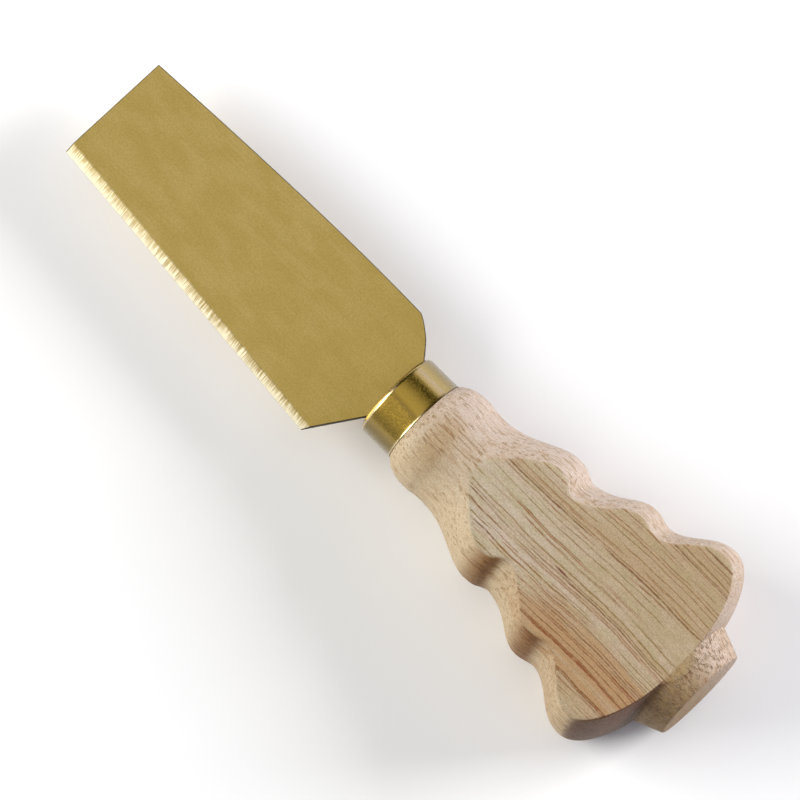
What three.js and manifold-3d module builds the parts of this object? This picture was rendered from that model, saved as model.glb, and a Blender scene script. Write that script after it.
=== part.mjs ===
// A small cheese knife: a square-ended blade of gold-toned sheet steel, a drawn brass ferrule, and a light
// hardwood handle turned as a fir tree, with a flat sawn on each face.
//
// Row frame, millimetres: +X runs from the butt to the blade's tip, the cutting edge is on the +Y side, and
// +Z is up. The origin is under the middle of the knife, on the plane of the handle's lower flat.
//
// Each piece is drawn in the knife's own frame, which one group turns into the row frame. There +Y is the
// station, which runs along the axis towards the butt. +X is the side of the cutting edge, and Z = 0 is the
// knife's middle plane.

import * as THREE from "three";
import { mergeVertices } from "three/addons/utils/BufferGeometryUtils.js";
import { ConvexGeometry } from "three/addons/geometries/ConvexGeometry.js";
import Module from "manifold-3d";

const wasm = await Module();
wasm.setup();

// ---------- driving dimensions ----------

const OVERALL_LENGTH = 140.7;
const GAP = 0.3; // between pieces that touch

const HANDLE_LENGTH = 65.1; // behind the ferrule
const HANDLE_THICKNESS = 20.4; // across the two flats
const TURNED_SEGMENTS = 64;

const FERRULE_LENGTH = 7.1;
const FERRULE_RADIUS = 8.2;
const FERRULE_WALL = 0.9;
const FERRULE_FACE = 1.2; // thickness of the slotted front
const FERRULE_ROUNDING = 0.9;

const BLADE_THICKNESS = 1.5;
const EDGE_THICKNESS = 0.3; // left at the cutting edge
const BEVEL_AT_TIP = 1.9;
const BEVEL_AT_HEEL = 1.5;

const TANG_WIDTH = 6.4;
const TANG_LENGTH = 37;
const TANG_CHAMFER = 1.5;

const BORE_RADIUS = 4.5;
const BORE_BEYOND_TANG = 1.8;

// ---------- derived dimensions ----------

const BLADE_LENGTH = OVERALL_LENGTH - HANDLE_LENGTH - FERRULE_LENGTH;
const TENON_LENGTH = FERRULE_LENGTH - FERRULE_FACE - GAP;
const TENON_RADIUS = FERRULE_RADIUS - FERRULE_WALL - GAP;
const PLUG_RADIUS = BORE_RADIUS - GAP;
const TANG_IN_BORE = TANG_LENGTH - (FERRULE_LENGTH - TENON_LENGTH);
const BORE_DEPTH = TANG_IN_BORE + BORE_BEYOND_TANG;
const OVERRUN = 5; // how far a cutter runs past the stock

// ---------- materials ----------

const steel = new THREE.MeshStandardMaterial({ color: 0xad9654, roughness: 0.4, metalness: 0.9 });
const brass = new THREE.MeshStandardMaterial({ color: 0x93763a, roughness: 0.3, metalness: 0.9 });
const wood = new THREE.MeshStandardMaterial({ color: 0xc4a47c, roughness: 0.65, metalness: 0 });
const epoxy = new THREE.MeshStandardMaterial({ color: 0xd9cda6, roughness: 0.45, metalness: 0 });

// ---------- helpers ----------

// A closed three.js geometry as a manifold-3d solid.
function toSolid(geometry) {
  const bare = geometry.clone();
  bare.deleteAttribute("normal");
  bare.deleteAttribute("uv");
  const merged = mergeVertices(bare, 1e-4);
  return new wasm.Manifold(
    new wasm.Mesh({
      numProp: 3,
      vertProperties: merged.attributes.position.array,
      triVerts: new Uint32Array(merged.index.array),
    }),
  );
}

// A manifold-3d solid as a named three.js mesh, moved along the knife to a station.
function pieceAt(station, name, solid, material) {
  const { vertProperties, triVerts } = solid.getMesh();
  const indexed = new THREE.BufferGeometry();
  indexed.setAttribute("position", new THREE.BufferAttribute(vertProperties, 3));
  indexed.setIndex(new THREE.BufferAttribute(triVerts, 1));
  const faceted = indexed.toNonIndexed();
  faceted.computeVertexNormals();
  const piece = new THREE.Mesh(faceted, material);
  piece.name = name;
  piece.position.y = station;
  return piece;
}

const vector = (radiusAndStation) => new THREE.Vector2(...radiusAndStation);

// A (radius, station) outline turned about the knife's axis.
function turned(outline) {
  return toSolid(new THREE.LatheGeometry(outline, TURNED_SEGMENTS));
}

// A rectangular bar along the knife's axis, from one station to another.
function bar(width, thickness, from, to) {
  const box = new THREE.BoxGeometry(width, to - from, thickness);
  box.translate(0, (from + to) / 2, 0);
  return toSolid(box);
}

// A round bar along the knife's axis, from one station to another.
function roundBar(radius, from, to) {
  const cylinder = new THREE.CylinderGeometry(radius, radius, to - from, TURNED_SEGMENTS / 2);
  cylinder.translate(0, (from + to) / 2, 0);
  return toSolid(cylinder);
}

// ---------- handle ----------

// The tree's outline as [radius, station] points, with station 0 at the ferrule's rear. Each stretch is a
// cubic curve. The two notches and the foot of the tree are creases, and the other joins are smooth.
const SHOULDER = [8.2, 0];
const TREE = [
  { to: "bulge behind the ferrule", curve: [[9.12, 0.9], [10.05, 2.1], [10.05, 5.2]], steps: 5 },
  { to: "neck", curve: [[10.05, 6.9], [9.69, 6.6], [9.69, 9.2]], steps: 4 },
  { to: "top tier", curve: [[9.69, 15.3], [13.79, 19.0], [13.79, 22.9]], steps: 8 },
  { to: "upper notch", curve: [[13.79, 26.0], [12.86, 25.3], [12.48, 27.7]], steps: 5 },
  { to: "middle tier", curve: [[13.17, 33.2], [16.83, 34.6], [16.83, 38.1]], steps: 8 },
  { to: "lower notch", curve: [[16.83, 39.6], [16.36, 40.1], [16.1, 41.8]], steps: 4 },
  { to: "bottom tier", curve: [[16.36, 46.0], [21.19, 48.0], [21.19, 52.6]], steps: 8 },
  { to: "foot of the tree", curve: [[21.19, 57.3], [12.9, 59.6], [10.86, 59.9]], steps: 8 },
];
const TRUNK_END_RADIUS = 8.85;
const TRUNK_ROUNDING = 0.8;

function treeOutline() {
  const outline = [vector(SHOULDER)];
  for (const { curve, steps } of TREE) {
    const stretch = new THREE.CubicBezierCurve(outline.at(-1), ...curve.map(vector));
    outline.push(...stretch.getPoints(steps).slice(1));
  }
  const trunkEdge = new THREE.QuadraticBezierCurve(
    new THREE.Vector2(TRUNK_END_RADIUS + 0.3, HANDLE_LENGTH - TRUNK_ROUNDING),
    new THREE.Vector2(TRUNK_END_RADIUS, HANDLE_LENGTH),
    new THREE.Vector2(TRUNK_END_RADIUS - TRUNK_ROUNDING, HANDLE_LENGTH),
  );
  return [...outline, ...trunkEdge.getPoints(3)];
}

// The tree and the tenon that fills the ferrule, sawn to the two flats and bored for the tang.
function handle() {
  const blank = turned([
    new THREE.Vector2(0, -TENON_LENGTH),
    new THREE.Vector2(TENON_RADIUS, -TENON_LENGTH),
    new THREE.Vector2(TENON_RADIUS, 0),
    ...treeOutline(),
    new THREE.Vector2(0, HANDLE_LENGTH),
  ]);
  const betweenFlats = bar(3 * HANDLE_THICKNESS, HANDLE_THICKNESS, -HANDLE_LENGTH, 2 * HANDLE_LENGTH);
  const bore = roundBar(BORE_RADIUS, -TENON_LENGTH - OVERRUN, BORE_DEPTH - TENON_LENGTH);
  return blank.intersect(betweenFlats).subtract(bore);
}

// ---------- ferrule ----------

// A drawn cap with station 0 at its front. It is open at the back over the handle's tenon, and slotted in
// front for the tang.
function ferrule() {
  const inner = FERRULE_RADIUS - FERRULE_WALL;
  const rear = FERRULE_LENGTH - GAP;
  const outline = new THREE.Path();
  outline.moveTo(0, 0);
  outline.lineTo(FERRULE_RADIUS - FERRULE_ROUNDING, 0);
  outline.absarc(FERRULE_RADIUS - FERRULE_ROUNDING, FERRULE_ROUNDING, FERRULE_ROUNDING, -Math.PI / 2, 0);
  outline.lineTo(FERRULE_RADIUS, rear);
  outline.lineTo(inner, rear);
  outline.lineTo(inner, FERRULE_FACE);
  outline.lineTo(0, FERRULE_FACE);
  const slot = bar(TANG_WIDTH + 2 * GAP, BLADE_THICKNESS + 2 * GAP, -OVERRUN, FERRULE_FACE + OVERRUN);
  return turned(outline.getPoints(4)).subtract(slot);
}

// ---------- blade ----------

// The blade's corners as [side, station], with station 0 at the ferrule's front.
const EDGE_AT_FERRULE = [5.75, -GAP];
const EDGE_AT_HEEL = [15.45, -6.7];
const EDGE_AT_TIP = [10.05, -BLADE_LENGTH];
const SPINE_AT_TIP = [-11.35, 0.7 - BLADE_LENGTH];
const SPINE_AT_HEEL = [-12.65, -6.4];
const SPINE_SHOULDER = [-10.25, -2.8];
const SPINE_AT_FERRULE = [-7.1, -GAP];
// What its curved stretches bend towards.
const SPINE_BOW = [-13.35, -27];
const HEEL_ROUNDING = [-12.4, -5.4];
const SHOULDER_BOW = [-9, -1.6];

// The blade and its tang, stamped from one sheet.
function bladeOutline() {
  const half = TANG_WIDTH / 2;
  const outline = new THREE.Shape();
  outline.moveTo(...EDGE_AT_FERRULE);
  outline.lineTo(half, -GAP);
  outline.lineTo(half, TANG_LENGTH - TANG_CHAMFER);
  outline.lineTo(half - TANG_CHAMFER, TANG_LENGTH);
  outline.lineTo(TANG_CHAMFER - half, TANG_LENGTH);
  outline.lineTo(-half, TANG_LENGTH - TANG_CHAMFER);
  outline.lineTo(-half, -GAP);
  outline.lineTo(...SPINE_AT_FERRULE);
  outline.quadraticCurveTo(...SHOULDER_BOW, ...SPINE_SHOULDER);
  outline.quadraticCurveTo(...HEEL_ROUNDING, ...SPINE_AT_HEEL);
  outline.quadraticCurveTo(...SPINE_BOW, ...SPINE_AT_TIP);
  outline.lineTo(...EDGE_AT_TIP);
  outline.lineTo(...EDGE_AT_HEEL);
  outline.closePath();
  return outline;
}

// The stock ground off the upper face along the cutting edge, as a wedge that runs past both of its ends.
function bevelStock() {
  const top = BLADE_THICKNESS / 2;
  const fall = BLADE_THICKNESS - EDGE_THICKNESS;
  const [tipSide, tipStation] = EDGE_AT_TIP;
  const [heelSide, heelStation] = EDGE_AT_HEEL;
  const flare = (heelSide - tipSide) / (heelStation - tipStation);
  const section = (side, station, width) => {
    const slope = fall / width;
    return [
      new THREE.Vector3(side - width - 1, station, top + slope),
      new THREE.Vector3(side + 1, station, top + slope),
      new THREE.Vector3(side + 1, station, top - fall - slope),
    ];
  };
  return toSolid(
    new ConvexGeometry([
      ...section(tipSide - flare * OVERRUN, tipStation - OVERRUN, BEVEL_AT_TIP),
      ...section(heelSide + flare * OVERRUN, heelStation + OVERRUN, BEVEL_AT_HEEL),
    ]),
  );
}

function blade() {
  const sheet = new THREE.ExtrudeGeometry(bladeOutline(), {
    depth: BLADE_THICKNESS,
    bevelEnabled: false,
    curveSegments: 8,
  });
  sheet.translate(0, 0, -BLADE_THICKNESS / 2);
  return toSolid(sheet).subtract(bevelStock());
}

// ---------- adhesive ----------

// The epoxy cast around the tang, with station 0 at the mouth of the bore that it fills.
function tangEpoxy() {
  const plug = roundBar(PLUG_RADIUS, 0, BORE_DEPTH - GAP);
  const tang = bar(TANG_WIDTH + 2 * GAP, BLADE_THICKNESS + 2 * GAP, -OVERRUN, TANG_IN_BORE + GAP);
  return plug.subtract(tang);
}

// ---------- assembly ----------

const knife = new THREE.Group();
knife.add(
  pieceAt(-FERRULE_LENGTH, "blade", blade(), steel),
  pieceAt(-FERRULE_LENGTH, "ferrule", ferrule(), brass),
  pieceAt(0, "handle", handle(), wood),
  pieceAt(-TENON_LENGTH, "tang_epoxy", tangEpoxy(), epoxy),
);
knife.rotation.z = Math.PI / 2;
knife.position.set(HANDLE_LENGTH - OVERALL_LENGTH / 2, 0, HANDLE_THICKNESS / 2);

const row = new THREE.Group();
row.add(knife);

export default row;
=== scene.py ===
"""Studio scene of a small cheese knife: gold-toned blade and ferrule, and a turned hardwood handle.

Each piece is drawn in millimetres in the knife's own frame, as (station, side, height). Stations run
along the axis towards the butt, sides towards the cutting edge, and heights up from the middle plane.
"""

import math

import bpy
import numpy as np
from mathutils import Matrix, Vector


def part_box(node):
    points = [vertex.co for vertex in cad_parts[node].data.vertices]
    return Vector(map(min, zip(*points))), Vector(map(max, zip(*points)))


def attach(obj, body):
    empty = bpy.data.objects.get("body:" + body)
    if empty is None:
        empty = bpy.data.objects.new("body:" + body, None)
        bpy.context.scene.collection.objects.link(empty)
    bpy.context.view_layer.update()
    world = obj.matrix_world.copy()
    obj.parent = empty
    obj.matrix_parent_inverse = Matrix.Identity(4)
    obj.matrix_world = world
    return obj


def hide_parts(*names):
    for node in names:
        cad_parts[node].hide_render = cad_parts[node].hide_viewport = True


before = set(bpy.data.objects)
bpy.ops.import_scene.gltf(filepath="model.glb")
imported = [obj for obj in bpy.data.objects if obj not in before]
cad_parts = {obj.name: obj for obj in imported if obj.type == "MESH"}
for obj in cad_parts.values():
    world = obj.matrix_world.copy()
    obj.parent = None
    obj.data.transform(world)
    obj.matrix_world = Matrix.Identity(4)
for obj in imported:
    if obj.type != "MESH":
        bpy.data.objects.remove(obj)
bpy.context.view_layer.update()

MM = 0.001

# ---------- driving dimensions, in millimetres ----------

GAP = 0.3  # between the CAD pieces that touch

FERRULE_WALL = 0.9
FERRULE_FACE = 1.2
FERRULE_ROUNDING = 0.9
FLARE = 0.075  # how far the rear edge opens
FLARE_LENGTH = 0.3
DARK_LINE_SIDE = 1.6  # where the darker line on top is, towards the cutting edge
FERRULE_TO_WOOD = 0.08

BLADE_THICKNESS = 1.5
EDGE_THICKNESS = 0.3
BEVEL_AT_TIP = 1.9
BEVEL_AT_HEEL = 1.5
TANG_WIDTH = 6.4
TANG_CHAMFER = 1.5

BORE_RADIUS = 4.5

# ---------- places, from the frame ----------

ferrule_low, ferrule_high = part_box("ferrule")
handle_low, handle_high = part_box("handle")
blade_low, blade_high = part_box("blade")
epoxy_low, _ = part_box("tang_epoxy")

AXIS_HEIGHT = (ferrule_low.z + ferrule_high.z) / 2
SHOULDER_X = ferrule_low.x - GAP * MM  # where the tree meets the ferrule
HANDLE_LENGTH = (SHOULDER_X - handle_low.x) / MM
TENON_LENGTH = (handle_high.x - SHOULDER_X) / MM
HALF_THICKNESS = (handle_high.z - handle_low.z) / 2 / MM
FERRULE_LENGTH = (ferrule_high.x - SHOULDER_X) / MM
FERRULE_RADIUS = (ferrule_high.z - ferrule_low.z) / 2 / MM
TENON_RADIUS = FERRULE_RADIUS - FERRULE_WALL - GAP
BLADE_LENGTH = (blade_high.x - ferrule_high.x) / MM
TANG_LENGTH = (ferrule_high.x - blade_low.x) / MM
BORE_DEPTH = (handle_high.x - epoxy_low.x) / MM + GAP


def place(points):
    """Knife-frame points in millimetres, as row-frame points in metres."""
    station, side, height = np.asarray(points, dtype=float).T
    return np.column_stack([SHOULDER_X - station * MM, side * MM, AXIS_HEIGHT + height * MM])


# ---------- mesh helpers ----------


def make_piece(name, points, faces, material, node, sharp_angle):
    """A smooth-shaded mesh object that stands for one CAD node."""
    mesh = bpy.data.meshes.new(name)
    mesh.from_pydata(place(points).tolist(), [], faces)
    mesh.materials.append(material)
    mesh.shade_smooth()
    mesh.set_sharp_from_angle(angle=math.radians(sharp_angle))
    mesh.validate()
    piece = bpy.data.objects.new(name, mesh)
    bpy.context.collection.objects.link(piece)
    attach(piece, "root")
    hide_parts(node)
    return piece


def bezier(start, first, second, end, spacing):
    """Points on a cubic curve after its start, about spacing apart."""
    corners = np.array([start, first, second, end], dtype=float)
    reach = np.linalg.norm(np.diff(corners, axis=0), axis=1).sum()
    t = np.linspace(0, 1, max(2, math.ceil(reach / spacing)) + 1)[1:, None]
    weights = np.hstack([(1 - t) ** 3, 3 * t * (1 - t) ** 2, 3 * t * t * (1 - t), t**3])
    return weights @ corners


def full_turn(quarter):
    """Angles for a whole turn from those of its first quarter, which include both ends."""
    half = np.concatenate([quarter, math.pi - quarter[-2::-1]])
    return np.concatenate([half[:-1], half[:-1] + math.pi])


def ring(station, angles, radii):
    """Points round the axis at one station. Angle 0 is the side of the cutting edge."""
    return np.column_stack(
        [np.broadcast_to(station, angles.shape), radii * np.cos(angles), radii * np.sin(angles)]
    )


def skin(rings, closed):
    """Joins equal rings, in order, into one closed surface. Its ends are joined, or closed by poles."""
    size = len(rings[0])
    points = list(np.vstack(rings))
    faces = []
    pairs = list(range(len(rings))) + [0] if closed else list(range(len(rings)))
    for a, b in zip(pairs, pairs[1:]):
        for i in range(size):
            j = (i + 1) % size
            faces.append((a * size + i, a * size + j, b * size + j, b * size + i))
    if not closed:
        for index, flip in ((0, False), (len(rings) - 1, True)):
            points.append(rings[index].mean(axis=0))
            pole = len(points) - 1
            for i in range(size):
                pair = (index * size + i, index * size + (i + 1) % size)
                faces.append((pole, *(pair if flip else pair[::-1])))
    return points, faces


# ---------- node helpers ----------


def new_material(name):
    material = bpy.data.materials.new(name)
    material.use_nodes = True
    tree = material.node_tree
    shader = tree.nodes["Principled BSDF"]
    return material, tree, shader


def add(tree, kind, inputs=None, **settings):
    """A node with its settings made, and its inputs linked where they are given sockets."""
    node = tree.nodes.new(kind)
    for name, value in settings.items():
        setattr(node, name, value)
    for key, value in (inputs or {}).items():
        if isinstance(value, bpy.types.NodeSocket):
            tree.links.new(value, node.inputs[key])
        else:
            node.inputs[key].default_value = value
    return node


def vector_node(tree, operation, first, second):
    return add(tree, "ShaderNodeVectorMath", {0: first, 1: second}, operation=operation).outputs[0]


def vector_length(tree, vector):
    return add(tree, "ShaderNodeVectorMath", {0: vector}, operation="LENGTH").outputs["Value"]


def separate(tree, vector):
    return add(tree, "ShaderNodeSeparateXYZ", {0: vector}).outputs


def combine(tree, x, y):
    return add(tree, "ShaderNodeCombineXYZ", {"X": x, "Y": y}).outputs[0]


def millimetres(tree):
    """The object's own coordinates, in millimetres from the knife's axis."""
    coordinates = add(tree, "ShaderNodeTexCoord").outputs["Object"]
    from_axis = vector_node(tree, "SUBTRACT", coordinates, (0, 0, AXIS_HEIGHT))
    return vector_node(tree, "MULTIPLY", from_axis, (1 / MM, 1 / MM, 1 / MM))


def noise(tree, where, lengths, detail=2.0, offset=(0, 0, 0)):
    """Noise whose features are about as long as lengths, in millimetres, along X, Y and Z."""
    frequencies = tuple(1 / length for length in lengths)
    inputs = {0: where, 1: frequencies, 2: offset}
    scaled = add(tree, "ShaderNodeVectorMath", inputs, operation="MULTIPLY_ADD").outputs[0]
    return add(tree, "ShaderNodeTexNoise", {"Vector": scaled, "Scale": 1.0, "Detail": detail})


def remap(tree, value, low, high, to_low=0.0, to_high=1.0):
    """Value from the range low to high, smoothly, to the range to_low to to_high."""
    return add(
        tree,
        "ShaderNodeMapRange",
        {"Value": value, "From Min": low, "From Max": high, "To Min": to_low, "To Max": to_high},
        interpolation_type="SMOOTHSTEP",
    ).outputs[0]


def math_node(tree, operation, first, second):
    return add(tree, "ShaderNodeMath", {0: first, 1: second}, operation=operation).outputs[0]


def product(tree, first, *others):
    for other in others:
        first = math_node(tree, "MULTIPLY", first, other)
    return first


def distance_from(tree, value, middle):
    return math_node(tree, "ABSOLUTE", math_node(tree, "SUBTRACT", value, middle), 0.0)


def blend(tree, factor, first, second, kind="MIX"):
    """Mixes two colours."""
    node = add(tree, "ShaderNodeMix", data_type="RGBA", blend_type=kind, clamp_factor=True)
    for index, value in ((0, factor), (6, first), (7, second)):
        if isinstance(value, bpy.types.NodeSocket):
            tree.links.new(value, node.inputs[index])
        else:
            node.inputs[index].default_value = value
    return node.outputs[2]


def tinted(tree, factor, colour, tint):
    """The colour multiplied by the tint, as far as the factor says."""
    return blend(tree, factor, colour, tint, kind="MULTIPLY")


def bump(tree, height, distance):
    """The normal for a relief whose full height is the distance, in millimetres."""
    inputs = {"Height": height, "Distance": distance * MM, "Strength": 1.0}
    return add(tree, "ShaderNodeBump", inputs).outputs[0]


# ---------- wood ----------

# Lengths and places are in millimetres, as X, Y and the height above the knife's axis.

GREENISH_WOOD = (0.525, 0.461, 0.318, 1)
PINKISH_WOOD = (0.575, 0.49, 0.388, 1)
COOL_TURNED_WOOD = (0.62, 0.505, 0.41, 1)
WARM_TURNED_WOOD = (0.62, 0.5, 0.33, 1)
WARM_WOOD = (0.45, 0.285, 0.15, 1)
HEARTWOOD = (0.44, 0.24, 0.09, 1)

OLIVE_VESSEL = (0.29, 0.18, 0.045, 1)
ORANGE_VESSEL = (0.34, 0.14, 0.022, 1)
BROWN_VESSEL = (0.21, 0.088, 0.016, 1)
TURNED_VESSEL = (0.33, 0.19, 0.055, 1)
HEART_VESSEL = (0.24, 0.07, 0.01, 1)
BLOCKED_VESSEL = (0.17, 0.04, 0.01, 1)

BUTT_TINT = (0.9, 0.835, 0.73, 1)
SPINE_SIDE_TINT = (0.95, 0.92, 0.84, 1)
PALE_TINT = (1.03, 1.02, 1.06, 1)
PLAIN_TINT = (0.985, 0.97, 0.94, 1)
FIBRE_TINT = (0.42, 0.29, 0.17, 1)
SPECKLE_TINT = (0.74, 0.71, 0.67, 1)
NECK_TINT = (0.87, 0.78, 0.63, 1)
TRUNK_TINT = (0.95, 0.91, 0.86, 1)
# Painted shade on the trunk's cutting-edge side, under the bottom tier.
TRUNK_SHADE_TINT = (0.8, 0.7, 0.5, 1)
PIT_TINT = (0.36, 0.25, 0.14, 1)
# Painted shade in the notches and in the crevice at the tree's foot.
NOTCH_SHADE_TINT = (0.52, 0.34, 0.17, 1)
FOOT_SHADE_TINT = (0.5, 0.38, 0.22, 1)
END_GRAIN_TINT = (0.78, 0.7, 0.6, 1)
# Dark painted shade on the bottom tier's butt-facing wall.
BOTTOM_TIER_SHADE_TINT = (0.32, 0.21, 0.15, 1)

# Each wobble of the grain, as its length along X, Y and Z and how far it moves the grain.
WOBBLES = (
    ((42, 16, 16), (0, 3.6, 0.7)),
    ((9, 3, 3), (0, 0.8, 0.25)),
    ((3.2, 1.4, 1.4), (0, 0.24, 0.08)),
)
# Each family of vessels, as its spacing, radius, length, seed and strength.
VESSEL_FAMILIES = (
    (0.85, 0.2, 15.0, 3.0, 0.9),
    (0.55, 0.14, 9.0, 31.0, 0.72),
)
PALE_STREAK = 4.9  # Y of its middle
HEART = (10.8, 10.0)  # Y and height of the middle of the heartwood
HEART_RADIUS = 3.2
BLOCKAGE = (-40.5, 2.5, 10.2)
NECK_PATCH = (-10.6, 1.5)  # X and Y of its middle


def wandering_grain(tree, where):
    """Coordinates that follow the grain as it bends and wobbles."""
    grain = where
    for lengths, reach in WOBBLES:
        colour = noise(tree, where, lengths, detail=1.0).outputs["Color"]
        centred = vector_node(tree, "SUBTRACT", colour, (0.5, 0.5, 0.5))
        inputs = {0: centred, 1: reach, 2: grain}
        grain = add(tree, "ShaderNodeVectorMath", inputs, operation="MULTIPLY_ADD").outputs[0]
    return grain


def growth_bands(tree, grain, at):
    """How warm the wood's colour is, which is more towards the butt and the tree's two sides."""
    outer = remap(tree, math_node(tree, "ABSOLUTE", at["Y"], 0.0), 4.0, 12.0)
    rearward = remap(tree, at["X"], -52.0, -18.0, 1.0, 0.0)
    corner = product(tree, outer, rearward, 0.12)
    bands = noise(tree, grain, (120, 2.4, 2.4)).outputs["Fac"]
    return remap(tree, math_node(tree, "ADD", bands, corner), 0.45, 0.8)


def bare_wood(tree, grain, at, on_flat, warm):
    """The wood's own colour on the sawn and the turned surfaces."""
    mottle = noise(tree, grain, (4.5, 1.5, 1.5), detail=3.0, offset=(4, 1, 7)).outputs["Fac"]
    sawn = blend(tree, remap(tree, mottle, 0.36, 0.64), GREENISH_WOOD, PINKISH_WOOD)
    sawn = tinted(tree, remap(tree, at["X"], -54.0, -21.0, 1.0, 0.0), sawn, BUTT_TINT)
    from_streak = distance_from(tree, separate(tree, grain)["Y"], PALE_STREAK)
    streak = remap(tree, from_streak, 0.7, 2.3, 1.0, 0.0)
    sawn = tinted(tree, 1.0, sawn, blend(tree, streak, PLAIN_TINT, PALE_TINT))
    sawn = tinted(tree, remap(tree, at["Y"], -12.0, 2.0, 1.0, 0.0), sawn, SPINE_SIDE_TINT)
    turned = blend(tree, remap(tree, at["Y"], -8.0, 10.0), COOL_TURNED_WOOD, WARM_TURNED_WOOD)
    colour = blend(tree, on_flat, turned, sawn)
    warmth = product(tree, warm, remap(tree, on_flat, 0.0, 1.0, 0.25, 0.5))
    return blend(tree, warmth, colour, WARM_WOOD)


def heart_streak(tree, grain, at):
    """A mask of the orange heartwood, which runs through the tree on the cutting edge's side."""
    from_heart = vector_node(tree, "SUBTRACT", grain, (0, *HEART))
    across = vector_node(tree, "MULTIPLY", from_heart, (0, 1, 1))
    radius = vector_length(tree, across)
    streaks = noise(tree, grain, (26, 0.9, 0.9), detail=3.0, offset=(3, 6, 1)).outputs["Fac"]
    uneven = math_node(tree, "ADD", radius, product(tree, streaks, 10.0))
    inside = remap(tree, uneven, HEART_RADIUS + 3.6, HEART_RADIUS + 6.4, 1.0, 0.0)
    return product(tree, inside, remap(tree, at["X"], -46.0, -32.0, 1.0, 0.0))


def slanted_patches(tree, grain, on_flat, colour):
    """Orange patches, mostly on the turned surfaces, which cut the grain at a slant."""
    patches = noise(tree, grain, (3.0, 1.1, 1.1), detail=3.0, offset=(7, 8, 2)).outputs["Fac"]
    shown = product(tree, remap(tree, patches, 0.5, 0.72), remap(tree, on_flat, 0.0, 1.0, 0.45, 0.1))
    return blend(tree, shown, colour, WARM_WOOD)


def vessel_family(tree, grain, spacing, radius, length, seed):
    """Long tubes in the wood: their mask, how open each is along its length, and its number."""
    axes = separate(tree, grain)
    side = product(tree, axes["Y"], 1 / spacing)
    height = product(tree, axes["Z"], 1 / spacing)
    section = combine(tree, math_node(tree, "ADD", side, seed), height)
    inputs = {"Vector": section, "Scale": 1.0}
    cells = add(tree, "ShaderNodeTexVoronoi", inputs, voronoi_dimensions="2D").outputs
    distance = product(tree, cells["Distance"], spacing)
    chance = separate(tree, cells["Color"])
    along = combine(tree, product(tree, axes["X"], 1 / length), product(tree, chance["X"], 300.0))
    inputs = {"Vector": along, "Scale": 1.0, "Detail": 1.0}
    run = add(tree, "ShaderNodeTexNoise", inputs, noise_dimensions="2D").outputs["Fac"]
    tube = remap(tree, distance, radius * 0.4, radius * 1.15, 1.0, 0.0)
    return tube, run, chance["Y"]


def vessel_lines(tree, grain, at, on_flat, off_flat, warm, heart, colour):
    """The colour with the cut vessels, lines on the flats and dashes elsewhere, and a mask of them."""
    # They are crowded towards the butt on the spine's side, and few towards the blade on the other.
    spine_side = remap(tree, at["Y"], -12.0, -1.0, 1.0, 0.0)
    dense = product(tree, spine_side, remap(tree, at["X"], -46.0, -26.0, 1.0, 0.0))
    edge_side = remap(tree, at["Y"], -1.0, 4.0)
    sparse = product(tree, edge_side, remap(tree, at["X"], -36.0, -25.0))
    crumbs = noise(tree, grain, (0.9, 0.3, 0.3)).outputs["Fac"]
    broken = remap(tree, crumbs, 0.3, 0.55, 0.4, 1.0)
    masks = []
    for spacing, radius, length, seed, strength in VESSEL_FAMILIES:
        tube, run, chance = vessel_family(tree, grain, spacing, radius, length, seed)
        crowded = math_node(tree, "ADD", run, product(tree, warm, 0.12))
        crowded = math_node(tree, "ADD", crowded, product(tree, dense, 0.05))
        crowded = math_node(tree, "SUBTRACT", crowded, product(tree, sparse, 0.11))
        crowded = math_node(tree, "SUBTRACT", crowded, product(tree, off_flat, 0.04))
        cut = product(tree, tube, remap(tree, crowded, 0.35, 0.5), broken)
        masks.append(cut)
        tone = blend(tree, remap(tree, chance, 0.2, 0.5), OLIVE_VESSEL, ORANGE_VESSEL)
        tone = blend(tree, remap(tree, chance, 0.6, 0.95), tone, BROWN_VESSEL)
        tone = blend(tree, heart, tone, HEART_VESSEL)
        tone = blend(tree, on_flat, TURNED_VESSEL, tone)
        depth = remap(tree, on_flat, 0.0, 1.0, 0.85 * strength, strength)
        colour = blend(tree, product(tree, cut, depth), colour, tone)
    return colour, math_node(tree, "MAXIMUM", *masks)


def blocked_vessel(tree, where, colour):
    """One vessel is blocked and nearly black for a short way."""
    away = vector_node(tree, "SUBTRACT", where, BLOCKAGE)
    away = vector_length(tree, vector_node(tree, "MULTIPLY", away, (0.5, 3.4, 1.0)))
    return blend(tree, remap(tree, away, 0.3, 1.0, 0.9, 0.0), colour, BLOCKED_VESSEL)


def darker_neck_top(tree, at, colour):
    """Browner and darker on top of the neck."""
    near = remap(tree, distance_from(tree, at["X"], NECK_PATCH[0]), 0.6, 3.8, 1.0, 0.0)
    beside = remap(tree, distance_from(tree, at["Y"], NECK_PATCH[1]), 2.5, 7.0, 1.0, 0.0)
    return tinted(tree, product(tree, near, beside, remap(tree, at["Z"], 0.0, 6.0)), colour, NECK_TINT)


def rough_trunk(tree, where, at, off_flat, trunk, colour):
    """The colour with a darker, pitted trunk, painted shade on its cutting edge's side, a few pits
    elsewhere, and a mask of the pits.
    """
    # On the cutting edge's side the trunk's tint is painted shade, where the bottom tier shades it.
    tint = blend(tree, remap(tree, at["Y"], -7.0, 3.0), TRUNK_TINT, TRUNK_SHADE_TINT)
    colour = tinted(tree, trunk, colour, tint)
    pits = noise(tree, where, (1.1, 0.42, 0.42), detail=3.0, offset=(9, 4, 6)).outputs["Fac"]
    rough = math_node(tree, "MAXIMUM", trunk, product(tree, off_flat, 0.15))
    pits = product(tree, remap(tree, pits, 0.54, 0.66), rough)
    return blend(tree, product(tree, pits, 0.6), colour, PIT_TINT), pits


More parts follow.
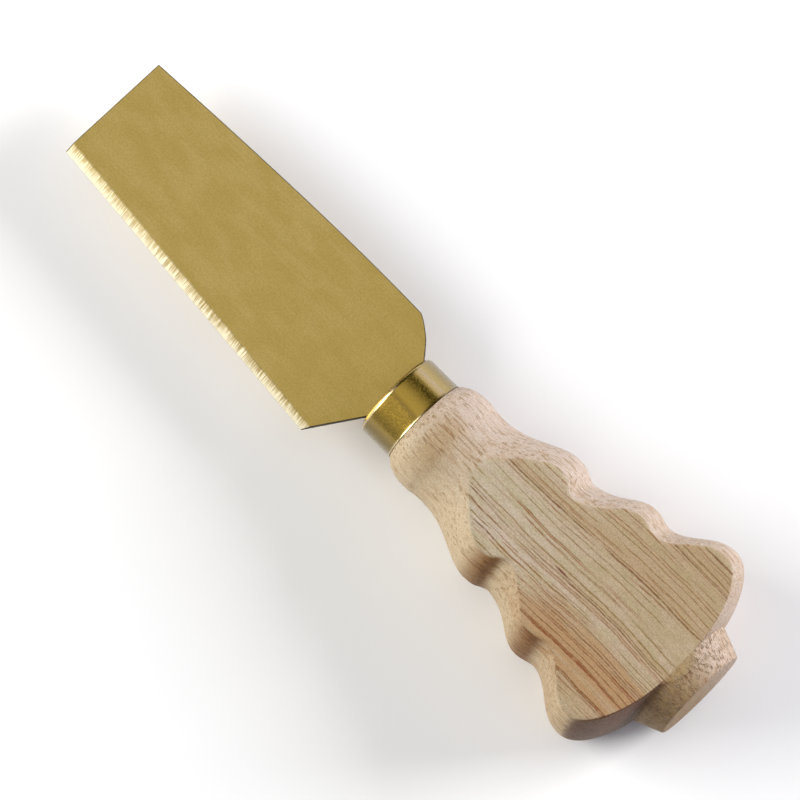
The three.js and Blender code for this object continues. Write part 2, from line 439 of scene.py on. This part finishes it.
def notch_and_foot_shade(tree, at, off_flat, trunk_front, colour):
    """On the cutting edge's side, painted shade up to the creases of both notches and at the tree's
    foot.
    """
    on_edge_side = remap(tree, at["Y"], 1.0, 9.0)
    for crease in (TREE[3][2][0], TREE[5][2][0]):
        ahead = math_node(tree, "SUBTRACT", at["X"], SHOULDER_X / MM - crease)
        near = product(
            tree,
            remap(tree, ahead, 2.6, 7.2, 1.0, 0.0),
            remap(tree, ahead, 0.2, 2.0, 0.1, 1.0),
        )
        # Painted shade in the notches on the cutting edge's side.
        colour = tinted(tree, product(tree, near, on_edge_side, off_flat), colour, NOTCH_SHADE_TINT)
    # Painted shade in the crevice where the bottom tier meets the trunk.
    foot_shade = remap(tree, distance_from(tree, at["X"], trunk_front - 0.2), 0.2, 1.1, 0.9, 0.0)
    foot_shade = product(tree, foot_shade, remap(tree, at["Y"], -3.0, 4.0), off_flat)
    return tinted(tree, foot_shade, colour, FOOT_SHADE_TINT)


def end_grain_and_shade(tree, at, trunk, colour):
    """Darker where the tiers face the butt: the ends of the grain are a little darker, and the strong
    darkening on the edge's side, darkest on the bottom tier, is painted shade.
    """
    normal = add(tree, "ShaderNodeTexCoord").outputs["Normal"]
    to_butt = product(tree, separate(tree, normal)["X"], -1.0)
    # Mostly painted shade: strongest on the edge's side and on the lower tiers, on top of the end
    # grain's own slight darkening.
    end_grain_shade = product(
        tree,
        remap(tree, to_butt, 0.1, 0.5),
        remap(tree, at["Y"], -12.0, 4.0, 0.1, 1.0),
        remap(tree, trunk, 0.0, 1.0, 1.0, 0.4),
        remap(tree, at["X"], -24.0, -16.0, 1.0, 0.0),
    )
    # The bottom tier's butt-facing wall takes a much darker painted shade.
    rearward = remap(tree, at["X"], -54.0, -46.0, 1.0, 0.0)
    tint = blend(tree, rearward, END_GRAIN_TINT, BOTTOM_TIER_SHADE_TINT)
    return tinted(tree, end_grain_shade, colour, tint)


def hardwood():
    """Pale rubberwood with its grain along X, sawn on the flats and turned elsewhere."""
    material, tree, shader = new_material("hardwood")
    where = millimetres(tree)
    at = separate(tree, where)
    above_axis = math_node(tree, "ABSOLUTE", at["Z"], 0.0)
    on_flat = remap(tree, above_axis, HALF_THICKNESS - 0.35, HALF_THICKNESS - 0.02)
    off_flat = math_node(tree, "SUBTRACT", 1.0, on_flat)
    trunk_front = SHOULDER_X / MM - TREE[-1][-1][0]
    trunk = remap(tree, at["X"], trunk_front - 0.3, trunk_front + 0.3, 1.0, 0.0)

    grain = wandering_grain(tree, where)
    warm = growth_bands(tree, grain, at)
    colour = bare_wood(tree, grain, at, on_flat, warm)
    heart = heart_streak(tree, grain, at)
    colour = blend(tree, product(tree, heart, 0.72), colour, HEARTWOOD)
    warm = math_node(tree, "MAXIMUM", warm, heart)
    colour = slanted_patches(tree, grain, on_flat, colour)

    fibre = noise(tree, grain, (2.6, 0.16, 0.16), detail=3.0, offset=(2, 5, 1)).outputs["Fac"]
    seen = product(tree, remap(tree, fibre, 0.4, 0.7), remap(tree, on_flat, 0.0, 1.0, 0.46, 0.4))
    colour = blend(tree, seen, colour, FIBRE_TINT)
    colour, hollows = vessel_lines(tree, grain, at, on_flat, off_flat, warm, heart, colour)
    colour = blocked_vessel(tree, where, colour)
    speckle = noise(tree, where, (0.24, 0.18, 0.18), offset=(6, 3, 9)).outputs["Fac"]
    colour = tinted(tree, remap(tree, speckle, 0.3, 0.7), colour, SPECKLE_TINT)

    colour = darker_neck_top(tree, at, colour)
    colour, pits = rough_trunk(tree, where, at, off_flat, trunk, colour)
    colour = notch_and_foot_shade(tree, at, off_flat, trunk_front, colour)
    colour = end_grain_and_shade(tree, at, trunk, colour)
    tree.links.new(colour, shader.inputs["Base Color"])
    tree.links.new(remap(tree, fibre, 0.3, 0.7, 0.5, 0.66), shader.inputs["Roughness"])

    relief = product(tree, math_node(tree, "ADD", fibre, speckle), 0.5)
    relief = math_node(tree, "SUBTRACT", relief, hollows)
    relief = math_node(tree, "SUBTRACT", relief, product(tree, pits, 2.0))
    tree.links.new(bump(tree, relief, 0.085), shader.inputs["Normal"])
    shader.inputs["Specular IOR Level"].default_value = 0.4
    return material


# ---------- metal and epoxy ----------

DEEP_GOLD = (0.635, 0.455, 0.135, 1)
PALE_GOLD = (0.69, 0.505, 0.17, 1)
HEEL_GOLD = (0.55, 0.385, 0.09, 1)
BRUSHED_GOLD = (0.4, 0.28, 0.065, 1)
GROUND_DARK = (0.62, 0.47, 0.2, 1)
GROUND_BRIGHT = (0.97, 0.88, 0.64, 1)
GROUND_BORDER = (0.3, 0.21, 0.06, 1)
# Near-black painted shade on the blade's narrow sides and rounded edges.
EDGE_SHADE_DARK = (0.02, 0.014, 0.007, 1)
EDGE_SHADE_PALE = (0.085, 0.06, 0.03, 1)
DEEP_BRASS = (0.475, 0.3, 0.03, 1)
PALE_BRASS = (0.54, 0.345, 0.043, 1)
# Paler, whiter gold painted on the ferrule's spine side as highlight.
SPINE_HIGHLIGHT_BRASS = (0.62, 0.5, 0.26, 1)
DARK_LINE_BRASS = (0.25, 0.15, 0.02, 1)
# Dark gold painted low on the ferrule as shade and dark reflection.
LIMB_SHADE_BRASS = (0.2, 0.14, 0.035, 1)
# Paler gold painted on the rims as highlight.
RIM_HIGHLIGHT_BRASS = (0.78, 0.62, 0.34, 1)
EPOXY = (0.69, 0.61, 0.39, 1)
EPOXY_BUBBLE = (0.48, 0.4, 0.24, 1)

DARK_LINE_SLANT = 0.07  # how far the darker line runs to the side, for each length along it


def gold_steel():
    """Gold-toned sheet, brushed along X."""
    material, tree, shader = new_material("gold_steel")
    where = millimetres(tree)
    brushing = noise(tree, where, (0.42, 0.18, 0.18)).outputs["Fac"]
    scratches = noise(tree, where, (14, 0.09, 0.09), offset=(3, 9, 4)).outputs["Fac"]
    marks = add(tree, "ShaderNodeMix", {0: 0.3, 2: brushing, 3: scratches}).outputs[0]
    clouds = noise(tree, where, (6, 3, 3), detail=3.0).outputs["Fac"]
    colour = blend(tree, remap(tree, clouds, 0.35, 0.65), DEEP_GOLD, PALE_GOLD)
    near_heel = remap(tree, separate(tree, where)["X"], 0.0, 30.0, 0.45, 0.0)
    colour = blend(tree, near_heel, colour, HEEL_GOLD)
    colour = blend(tree, remap(tree, marks, 0.36, 0.64, 0.0, 0.42), colour, BRUSHED_GOLD)
    tree.links.new(colour, shader.inputs["Base Color"])
    tree.links.new(remap(tree, marks, 0.3, 0.7, 0.30, 0.42), shader.inputs["Roughness"])
    tree.links.new(bump(tree, marks, 0.002), shader.inputs["Normal"])
    shader.inputs["Metallic"].default_value = 1.0
    return material


def ground_steel():
    """The bevel: fresh wheel marks that run across the cutting edge."""
    material, tree, shader = new_material("ground_steel")
    where = millimetres(tree)
    marks = noise(tree, where, (0.17, 5.0, 5.0)).outputs["Fac"]
    height = separate(tree, where)["Z"]
    bright = math_node(tree, "ADD", marks, remap(tree, height, -0.4, 0.6, 0.1, -0.1))
    colour = blend(tree, remap(tree, bright, 0.36, 0.6), GROUND_DARK, GROUND_BRIGHT)
    top = BLADE_THICKNESS / 2
    border = remap(tree, height, top - 0.2, top - 0.08, 0.0, 0.6)
    colour = blend(tree, border, colour, GROUND_BORDER)
    tree.links.new(colour, shader.inputs["Base Color"])
    tree.links.new(remap(tree, marks, 0.3, 0.7, 0.28, 0.45), shader.inputs["Roughness"])
    tree.links.new(bump(tree, marks, 0.02), shader.inputs["Normal"])
    shader.inputs["Metallic"].default_value = 1.0
    return material


def shaded_edge_steel():
    """The blade's stamped edges, torn across the sheet and painted near black as shade."""
    material, tree, shader = new_material("shaded_edge_steel")
    tears = noise(tree, millimetres(tree), (0.12, 0.12, 0.9)).outputs["Fac"]
    colour = blend(tree, remap(tree, tears, 0.3, 0.7), EDGE_SHADE_DARK, EDGE_SHADE_PALE)
    tree.links.new(colour, shader.inputs["Base Color"])
    tree.links.new(remap(tree, tears, 0.3, 0.7, 0.5, 0.7), shader.inputs["Roughness"])
    tree.links.new(bump(tree, tears, 0.02), shader.inputs["Normal"])
    shader.inputs["Specular IOR Level"].default_value = 0.25
    return material


def dark_top_line(tree, at, peel):
    """A mask of the faint, slightly slanted darker line on top."""
    side = math_node(tree, "ADD", at["Y"], product(tree, at["X"], DARK_LINE_SLANT))
    side = math_node(tree, "ADD", side, product(tree, peel, 1.2))
    away = distance_from(tree, side, DARK_LINE_SIDE)
    return product(tree, remap(tree, away, 0.1, 0.75, 0.6, 0.0), remap(tree, at["Z"], 0.0, 1.0))


def rim_highlights(tree, at):
    """A mask of the ferrule's two rims, on the cutting edge's side, where paler gold is painted as
    highlight.
    """
    rounding = ferrule_high.x / MM - FERRULE_ROUNDING
    shoulder = SHOULDER_X / MM
    front = remap(tree, at["X"], rounding + FERRULE_ROUNDING * 0.05, rounding + FERRULE_ROUNDING * 0.3)
    rear = remap(tree, at["X"], shoulder + 0.2, shoulder + 0.5, 1.0, 0.0)
    rims = math_node(tree, "MAXIMUM", front, rear)
    return product(tree, rims, remap(tree, at["Y"], -1.5, 1.0, 0.0, 0.75))


def gold_brass():
    """The lacquered ferrule, with orange peel, a faint darker line on top, and painted highlights and
    shade: paler rims, a paler spine side and a darker underside.
    """
    material, tree, shader = new_material("gold_brass")
    where = millimetres(tree)
    at = separate(tree, where)
    lines = noise(tree, where, (3.5, 0.2, 0.2), detail=3.0).outputs["Fac"]
    peel = noise(tree, where, (0.4, 0.3, 0.3), offset=(5, 2, 8)).outputs["Fac"]
    colour = blend(tree, remap(tree, peel, 0.3, 0.7), DEEP_BRASS, PALE_BRASS)
    # Painted highlight: paler, whiter gold towards the spine's side.
    colour = blend(tree, remap(tree, at["Y"], -5.4, -4.0, 0.4, 0.0), colour, SPINE_HIGHLIGHT_BRASS)
    colour = blend(tree, dark_top_line(tree, at, peel), colour, DARK_LINE_BRASS)
    # Painted shade: darker gold everywhere below the ferrule's top, its sides and underside.
    underneath = remap(tree, at["Z"], FERRULE_RADIUS * 0.5, FERRULE_RADIUS * 0.92, 0.85, 0.0)
    painted_limb_shade = product(tree, underneath, remap(tree, at["Y"], -1.0, 1.0, 0.85, 1.0))
    colour = blend(tree, painted_limb_shade, colour, LIMB_SHADE_BRASS)
    # Painted highlight: paler gold on both rims on the cutting edge's side.
    colour = blend(tree, rim_highlights(tree, at), colour, RIM_HIGHLIGHT_BRASS)
    tree.links.new(colour, shader.inputs["Base Color"])
    tree.links.new(remap(tree, peel, 0.3, 0.7, 0.2, 0.3), shader.inputs["Roughness"])
    relief = math_node(tree, "ADD", product(tree, lines, 0.4), product(tree, peel, 3.0))
    tree.links.new(bump(tree, relief, 0.0035), shader.inputs["Normal"])
    shader.inputs["Coat Weight"].default_value = 0.7
    shader.inputs["Coat Roughness"].default_value = 0.16
    shader.inputs["Metallic"].default_value = 1.0
    return material


def cast_epoxy():
    """Cream epoxy with a few bubbles."""
    material, tree, shader = new_material("cast_epoxy")
    where = millimetres(tree)
    bubbles = add(tree, "ShaderNodeTexVoronoi", {"Vector": where, "Scale": 0.9})
    clear = remap(tree, bubbles.outputs["Distance"], 0.1, 0.25)
    tree.links.new(blend(tree, clear, EPOXY_BUBBLE, EPOXY), shader.inputs["Base Color"])
    tree.links.new(bump(tree, clear, 0.1), shader.inputs["Normal"])
    shader.inputs["Roughness"].default_value = 0.4
    return material


# ---------- handle ----------

# The tree's outline as (station, radius) points, one cubic curve for each stretch.
SHOULDER = (0, 8.2)
TREE = [
    [(0.9, 9.12), (2.1, 10.05), (5.2, 10.05)],  # to the bulge behind the ferrule
    [(6.9, 10.05), (6.6, 9.69), (9.2, 9.69)],  # to the neck
    [(15.3, 9.69), (19.0, 13.79), (22.9, 13.79)],  # to the top tier
    [(26.0, 13.79), (25.3, 12.86), (27.7, 12.48)],  # to the upper notch
    [(33.2, 13.17), (34.6, 16.83), (38.1, 16.83)],  # to the middle tier
    [(39.6, 16.83), (40.1, 16.36), (41.8, 16.1)],  # to the lower notch
    [(46.0, 16.36), (48.0, 21.19), (52.6, 21.19)],  # to the bottom tier
    [(57.3, 21.19), (59.6, 12.9), (59.9, 10.86)],  # to the foot of the tree
]
TRUNK_END_RADIUS = 8.85
TRUNK_TAPER = 0.3  # how much wider the trunk is just before its rounded end
TRUNK_ROUNDING = 0.8

RING_SPACING = 0.25
CREASE_SOFTENING = 3  # passes
FLAT_EDGE_REACH = 0.45  # how far the soft edge of a flat reaches to each side
WIDEST_EDGE_ANGLE = math.radians(68)
ARC_STEPS, EDGE_STEPS, FLAT_STEPS = 18, 8, 14


def tree_outline():
    """(station, radius) points from the ferrule to the butt's rounded edge."""
    points = [np.array(SHOULDER, dtype=float)]
    for first, second, end in TREE:
        points.extend(bezier(points[-1], first, second, end, RING_SPACING))
    for _ in range(CREASE_SOFTENING):
        middle = [(a + 2 * b + c) / 4 for a, b, c in zip(points, points[1:], points[2:])]
        points = [points[0], *middle, points[-1]]
    start = (HANDLE_LENGTH - TRUNK_ROUNDING, TRUNK_END_RADIUS + TRUNK_TAPER)
    foot = points[-1]
    trunk = np.linspace(foot, start, math.ceil((start[0] - foot[0]) / RING_SPACING) + 1)[1:]
    corner = (HANDLE_LENGTH, TRUNK_END_RADIUS)
    end = (HANDLE_LENGTH, TRUNK_END_RADIUS - TRUNK_ROUNDING)
    return [*points, *trunk, *bezier(start, corner, corner, end, RING_SPACING / 2)]


def tree_ring(station, radius):
    """A turned section cut by the two flats, with soft edges and more points along them."""
    edge = math.asin(min(1, HALF_THICKNESS / radius))
    dense = min(edge, WIDEST_EDGE_ANGLE)
    spread = 2 * FLAT_EDGE_REACH / radius
    quarter = np.concatenate(
        [
            np.linspace(0, dense - spread, ARC_STEPS, endpoint=False),
            np.linspace(dense - spread, dense + spread, EDGE_STEPS, endpoint=False),
            np.linspace(dense + spread, math.pi / 2, FLAT_STEPS + 1),
        ]
    )
    angles = full_turn(quarter)
    to_flat = HALF_THICKNESS / np.maximum(np.abs(np.sin(angles)), 1e-6)
    soft = max(0.05, 2 * FLAT_EDGE_REACH / math.tan(edge) / 2)
    overlap = np.maximum(soft - np.abs(to_flat - radius), 0) ** 2 / (4 * soft)
    return ring(station, angles, np.minimum(to_flat, radius) - overlap)


def handle(material):
    """One piece, from the bottom of its bore round the tenon and along the tree to the butt."""
    round_section = full_turn(np.linspace(0, math.pi / 2, ARC_STEPS + EDGE_STEPS + FLAT_STEPS + 1))
    inside = [
        (BORE_DEPTH - TENON_LENGTH, BORE_RADIUS / 2),
        (BORE_DEPTH - TENON_LENGTH, BORE_RADIUS),
        (-TENON_LENGTH, BORE_RADIUS),
        (-TENON_LENGTH, TENON_RADIUS),
        (-0.05, TENON_RADIUS),
    ]
    rings = [ring(station, round_section, radius) for station, radius in inside]
    rings += [tree_ring(station, radius) for station, radius in tree_outline()]
    for radius in (6.5, 4.5, 2.5, 1):
        rings.append(ring(HANDLE_LENGTH, round_section, radius))
    points, faces = skin(rings, closed=False)
    return make_piece("handle_wood", points, faces, material, "handle", 40)


# ---------- ferrule ----------


def ferrule(material):
    """A drawn cap with a rounded front edge, slotted for the tang."""
    half_width = TANG_WIDTH / 2 + GAP
    half_height = BLADE_THICKNESS / 2 + GAP
    corner = math.atan2(half_height, half_width)
    quarter = np.concatenate(
        [np.linspace(0, corner, 8, endpoint=False), np.linspace(corner, math.pi / 2, 25)]
    )
    angles = full_turn(quarter)
    across = half_width / np.maximum(np.abs(np.cos(angles)), 1e-6)
    upward = half_height / np.maximum(np.abs(np.sin(angles)), 1e-6)
    slot = np.minimum(across, upward)

    front = -FERRULE_LENGTH
    inner = FERRULE_RADIUS - FERRULE_WALL
    rings = [ring(front + FERRULE_FACE, angles, slot), ring(front, angles, slot)]
    for share in (0.3, 0.65):
        rings.append(ring(front, angles, slot + (FERRULE_RADIUS - FERRULE_ROUNDING - slot) * share))
    for turn in np.linspace(0, math.pi / 2, 10):
        station = front + FERRULE_ROUNDING * (1 - math.cos(turn))
        radius = FERRULE_RADIUS - FERRULE_ROUNDING * (1 - math.sin(turn))
        rings.append(ring(station, angles, radius))
    rear = -FERRULE_TO_WOOD
    for station in np.linspace(front + FERRULE_ROUNDING, rear - FLARE_LENGTH, 8)[1:]:
        rings.append(ring(station, angles, FERRULE_RADIUS))
    for share in (0.3, 0.55, 0.8, 0.95, 1.0):
        rise = FLARE * math.sin(share * math.pi / 2) ** 2
        rings.append(ring(rear - FLARE_LENGTH * (1 - share), angles, FERRULE_RADIUS + rise))
    rings.append(ring(rear, angles, inner))
    rings.append(ring(front + FERRULE_FACE, angles, inner))
    points, faces = skin(rings, closed=True)
    return make_piece("ferrule_cap", points, faces, material, "ferrule", 40)


# ---------- blade ----------

# The blade's corners as (side, station), with station 0 at the ferrule's front.
EDGE_AT_FERRULE = (5.75, -0.1)
EDGE_AT_HEEL = (15.45, -6.7)
EDGE_AT_TIP = (10.05, -BLADE_LENGTH)
SPINE_AT_TIP = (-11.35, 0.7 - BLADE_LENGTH)
SPINE_AT_HEEL = (-12.65, -6.4)
SPINE_SHOULDER = (-10.25, -2.8)
SPINE_AT_FERRULE = (-7.1, -0.1)
SPINE_BOW = (-13.35, -27)
HEEL_ROUNDING = (-12.4, -5.4)
SHOULDER_BOW = (-9, -1.6)

EDGE_ROUNDING = 0.14  # width of the rounded strip along each sharp edge, painted near black as shade
SHARPEST_ROUNDED = math.radians(60)  # edges that turn less than this aren't rounded


def quadratic(start, bow, end, steps):
    """Points on a quadratic curve after its start."""
    start, bow, end = (np.array(corner, dtype=float) for corner in (start, bow, end))
    t = np.linspace(0, 1, steps + 1)[1:, None]
    return list((1 - t) ** 2 * start + 2 * t * (1 - t) * bow + t**2 * end)


def crossing(a, b, c, d):
    """Where the line through a and b meets the line through c and d."""
    a, b, c, d = (np.array(corner, dtype=float) for corner in (a, b, c, d))
    along = np.linalg.solve(np.column_stack([b - a, c - d]), c - a)[0]
    return a + (b - a) * along


def blade_outline():
    """Corners of the blade's and the tang's outline, from the edge's side round the tang to the tip."""
    half = TANG_WIDTH / 2
    return [
        EDGE_AT_FERRULE,
        (half, EDGE_AT_FERRULE[1]),
        (half, TANG_LENGTH - TANG_CHAMFER),
        (half - TANG_CHAMFER, TANG_LENGTH),
        (TANG_CHAMFER - half, TANG_LENGTH),
        (-half, TANG_LENGTH - TANG_CHAMFER),
        (-half, SPINE_AT_FERRULE[1]),
        SPINE_AT_FERRULE,
        *quadratic(SPINE_AT_FERRULE, SHOULDER_BOW, SPINE_SHOULDER, 8),
        *quadratic(SPINE_SHOULDER, HEEL_ROUNDING, SPINE_AT_HEEL, 10),
        *quadratic(SPINE_AT_HEEL, SPINE_BOW, SPINE_AT_TIP, 24),
    ]


def blade_points(shared):
    """The upper face's corners, the lower face's, and the two ends of the narrow land at the edge."""
    inner_tip = (EDGE_AT_TIP[0] - BEVEL_AT_TIP, EDGE_AT_TIP[1])
    inner_heel = (EDGE_AT_HEEL[0] - BEVEL_AT_HEEL, EDGE_AT_HEEL[1])
    grind_tip = crossing(inner_tip, inner_heel, SPINE_AT_TIP, EDGE_AT_TIP)
    grind_heel = crossing(inner_tip, inner_heel, EDGE_AT_HEEL, EDGE_AT_FERRULE)
    top, low = BLADE_THICKNESS / 2, -BLADE_THICKNESS / 2
    upper = [(*corner, top) for corner in [*shared, grind_tip, grind_heel]]
    lower = [(*corner, low) for corner in [*shared, EDGE_AT_TIP, EDGE_AT_HEEL]]
    land = [(*corner, low + EDGE_THICKNESS) for corner in (EDGE_AT_TIP, EDGE_AT_HEEL)]
    return [(station - FERRULE_LENGTH, side, height) for side, station, height in upper + lower + land]


def blade_faces(shared_count):
    """The two broad faces, then the narrow sides, and the bevel last."""
    count = shared_count + 2
    last, tip, heel = shared_count - 1, shared_count, shared_count + 1
    land_tip, land_heel = 2 * count, 2 * count + 1
    faces = [list(range(count)), list(range(2 * count - 1, count - 1, -1))]
    for i in range(last):
        faces.append([i + 1, i, count + i, count + i + 1])
    faces.append([tip, last, count + last, count + tip, land_tip])
    faces.append([0, heel, land_heel, count + heel, count])
    faces.append([land_heel, land_tip, count + tip, count + heel])
    faces.append([heel, tip, land_tip, land_heel])
    return faces


def round_edges(piece, material_index):
    rounding = piece.modifiers.new("rounded edges", "BEVEL")
    rounding.width = EDGE_ROUNDING * MM
    rounding.segments = 2
    rounding.limit_method = "ANGLE"
    rounding.angle_limit = SHARPEST_ROUNDED
    # The rounded strip takes the edge material, whose near black is painted shade.
    rounding.material = material_index
    rounding.harden_normals = True


def blade(steel, ground, cut):
    """The blade and its tang as one thin plate, with the bevel ground off its upper face."""
    shared = blade_outline()
    points, faces = blade_points(shared), blade_faces(len(shared))
    piece = make_piece("blade_plate", points, faces, steel, "blade", 20)
    piece.data.materials.append(ground)
    piece.data.materials.append(cut)
    *sides, bevel = piece.data.polygons[2:]
    # The narrow sides take the edge material, whose near black is painted shade.
    for face in sides:
        face.material_index = 2
    bevel.material_index = 1
    round_edges(piece, 2)
    return piece


# ---------- stage ----------

FLOOR_REACH = 6.0  # metres to each side


def pale_floor():
    material, _, shader = new_material("floor_paint")
    shader.inputs["Base Color"].default_value = (0.93, 0.93, 0.93, 1)
    shader.inputs["Roughness"].default_value = 0.9
    shader.inputs["Specular IOR Level"].default_value = 0.1
    mesh = bpy.data.meshes.new("floor")
    corners = [(x * FLOOR_REACH, y * FLOOR_REACH, 0) for x, y in ((-1, -1), (1, -1), (1, 1), (-1, 1))]
    mesh.from_pydata(corners, [], [(0, 1, 2, 3)])
    mesh.materials.append(material)
    floor = bpy.data.objects.new("floor", mesh)
    bpy.context.collection.objects.link(floor)


SOFTBOX_DISTANCE = 1.0  # metres


def softbox(name, toward, width, height, power, colour):
    """An area light that faces the knife from a direction, and isn't seen itself."""
    light = bpy.data.lights.new(name, "AREA")
    light.shape = "RECTANGLE"
    light.size, light.size_y = width, height
    light.energy = power
    light.color = colour[:3]
    lamp = bpy.data.objects.new(name, light)
    direction = Vector(toward).normalized()
    lamp.location = Vector((0, 0, AXIS_HEIGHT)) + direction * SOFTBOX_DISTANCE
    lamp.rotation_mode = "QUATERNION"
    lamp.rotation_quaternion = direction.to_track_quat("Z", "Y")
    lamp.visible_camera = False
    bpy.context.collection.objects.link(lamp)


def sky(tree, height, stops):
    """Brightness by the sine of the elevation, as (sine, brightness) stops."""
    ramp = add(tree, "ShaderNodeValToRGB", {"Fac": height})
    elements = ramp.color_ramp.elements
    while len(elements) < len(stops):
        elements.new(0.5)
    for element, (position, brightness) in zip(elements, stops):
        element.position = position
        element.color = (brightness, brightness, brightness, 1)
    return ramp.outputs["Color"]


# Sky brightness by the sine of the elevation. The room is bright overhead and low on the spine's side.
OVERHEAD = [(0.97, 0.72), (1.0, 0.72)]
SPINE_SIDE_SKY = [(0.0, 1.1), (0.38, 1.08), (0.46, 0.02), (0.67, 0.02), (0.84, 0.38), *OVERHEAD]
SPINE_TIP_SKY = [(0.0, 0.2), (0.3, 0.05), (0.72, 0.02), (0.86, 0.3), *OVERHEAD]
EDGE_SIDE_SKY = [(0.0, 0.35), (0.26, 0.42), (0.6, 0.5), (0.83, 0.53), *OVERHEAD]
EDGE_BUTT_SKY = [(0.0, 0.02), (0.6, 0.04), (0.9, 0.3), *OVERHEAD]
COOL = (1.0, 1.0, 0.97, 1)
WARM = (1.0, 0.985, 0.94, 1)
LOW_SKY_TINT = (0.97, 1.03, 1.75, 1)


def studio_light():
    world = bpy.data.worlds.new("studio")
    bpy.context.scene.world = world
    world.use_nodes = True
    tree = world.node_tree
    toward = separate(tree, add(tree, "ShaderNodeTexCoord").outputs["Generated"])
    spine_side = blend(
        tree,
        remap(tree, toward["X"], 0.2, 0.5),
        sky(tree, toward["Z"], SPINE_SIDE_SKY),
        sky(tree, toward["Z"], SPINE_TIP_SKY),
    )
    edge_side = blend(
        tree,
        remap(tree, toward["X"], -0.45, -0.1),
        sky(tree, toward["Z"], EDGE_BUTT_SKY),
        sky(tree, toward["Z"], EDGE_SIDE_SKY),
    )
    low = remap(tree, toward["Z"], 0.4, 0.5, 1.0, 0.0)
    spine_side = tinted(tree, low, spine_side, LOW_SKY_TINT)
    radiance = blend(tree, remap(tree, toward["Y"], -0.25, 0.25), spine_side, edge_side)
    tree.links.new(radiance, tree.nodes["Background"].inputs["Color"])
    softbox("spine_side", (-0.5, -0.8, 0.4), 0.4, 0.35, 10.0, COOL)
    softbox("edge_side", (0.73, 0.52, 0.46), 0.78, 0.7, 10.5, WARM)
    bpy.context.scene.view_settings.view_transform = "Standard"


# ---------- camera ----------

LENS = 400  # in millimetres, as is the sensor's width
SENSOR = 36
VIEW_WIDTH = 134 * MM  # at the knife
AXIS_SLOPE = math.radians(44.7)  # how far the knife's axis falls from tip to butt, as seen
TILT = math.radians(7.5)  # from straight above towards the butt
ROLL = math.radians(5)  # from straight above towards the cutting edge
FERRULE_IN_VIEW = (-0.9 * MM, 1.2 * MM)  # from the middle of the view, to the right and up


def camera():
    """A distant camera, nearly straight above, with the knife slanting down to the right."""
    back = Vector((-math.tan(TILT), math.tan(ROLL), 1)).normalized()
    along = Vector((1, 0, 0))
    along = (along - along.dot(back) * back).normalized()
    across = back.cross(along)
    right = -math.cos(AXIS_SLOPE) * along - math.sin(AXIS_SLOPE) * across
    up = math.sin(AXIS_SLOPE) * along - math.cos(AXIS_SLOPE) * across
    ferrule_front = Vector((ferrule_high.x, 0, AXIS_HEIGHT))
    middle = ferrule_front - right * FERRULE_IN_VIEW[0] - up * FERRULE_IN_VIEW[1]
    data = bpy.data.cameras.new("camera")
    data.lens, data.sensor_width = LENS, SENSOR
    distance = VIEW_WIDTH * LENS / SENSOR
    data.clip_start, data.clip_end = distance / 10, distance * 10
    placed = bpy.data.objects.new("camera", data)
    turn = Matrix((right, up, back)).transposed().to_4x4()
    placed.matrix_world = Matrix.Translation(middle + back * distance) @ turn
    bpy.context.collection.objects.link(placed)
    bpy.context.scene.camera = placed


# ---------- scene ----------

camera()
pale_floor()
studio_light()
handle(hardwood())
ferrule(gold_brass())
blade(gold_steel(), ground_steel(), shaded_edge_steel())
epoxy_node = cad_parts["tang_epoxy"]
epoxy_node.data.materials.clear()
epoxy_node.data.materials.append(cast_epoxy())
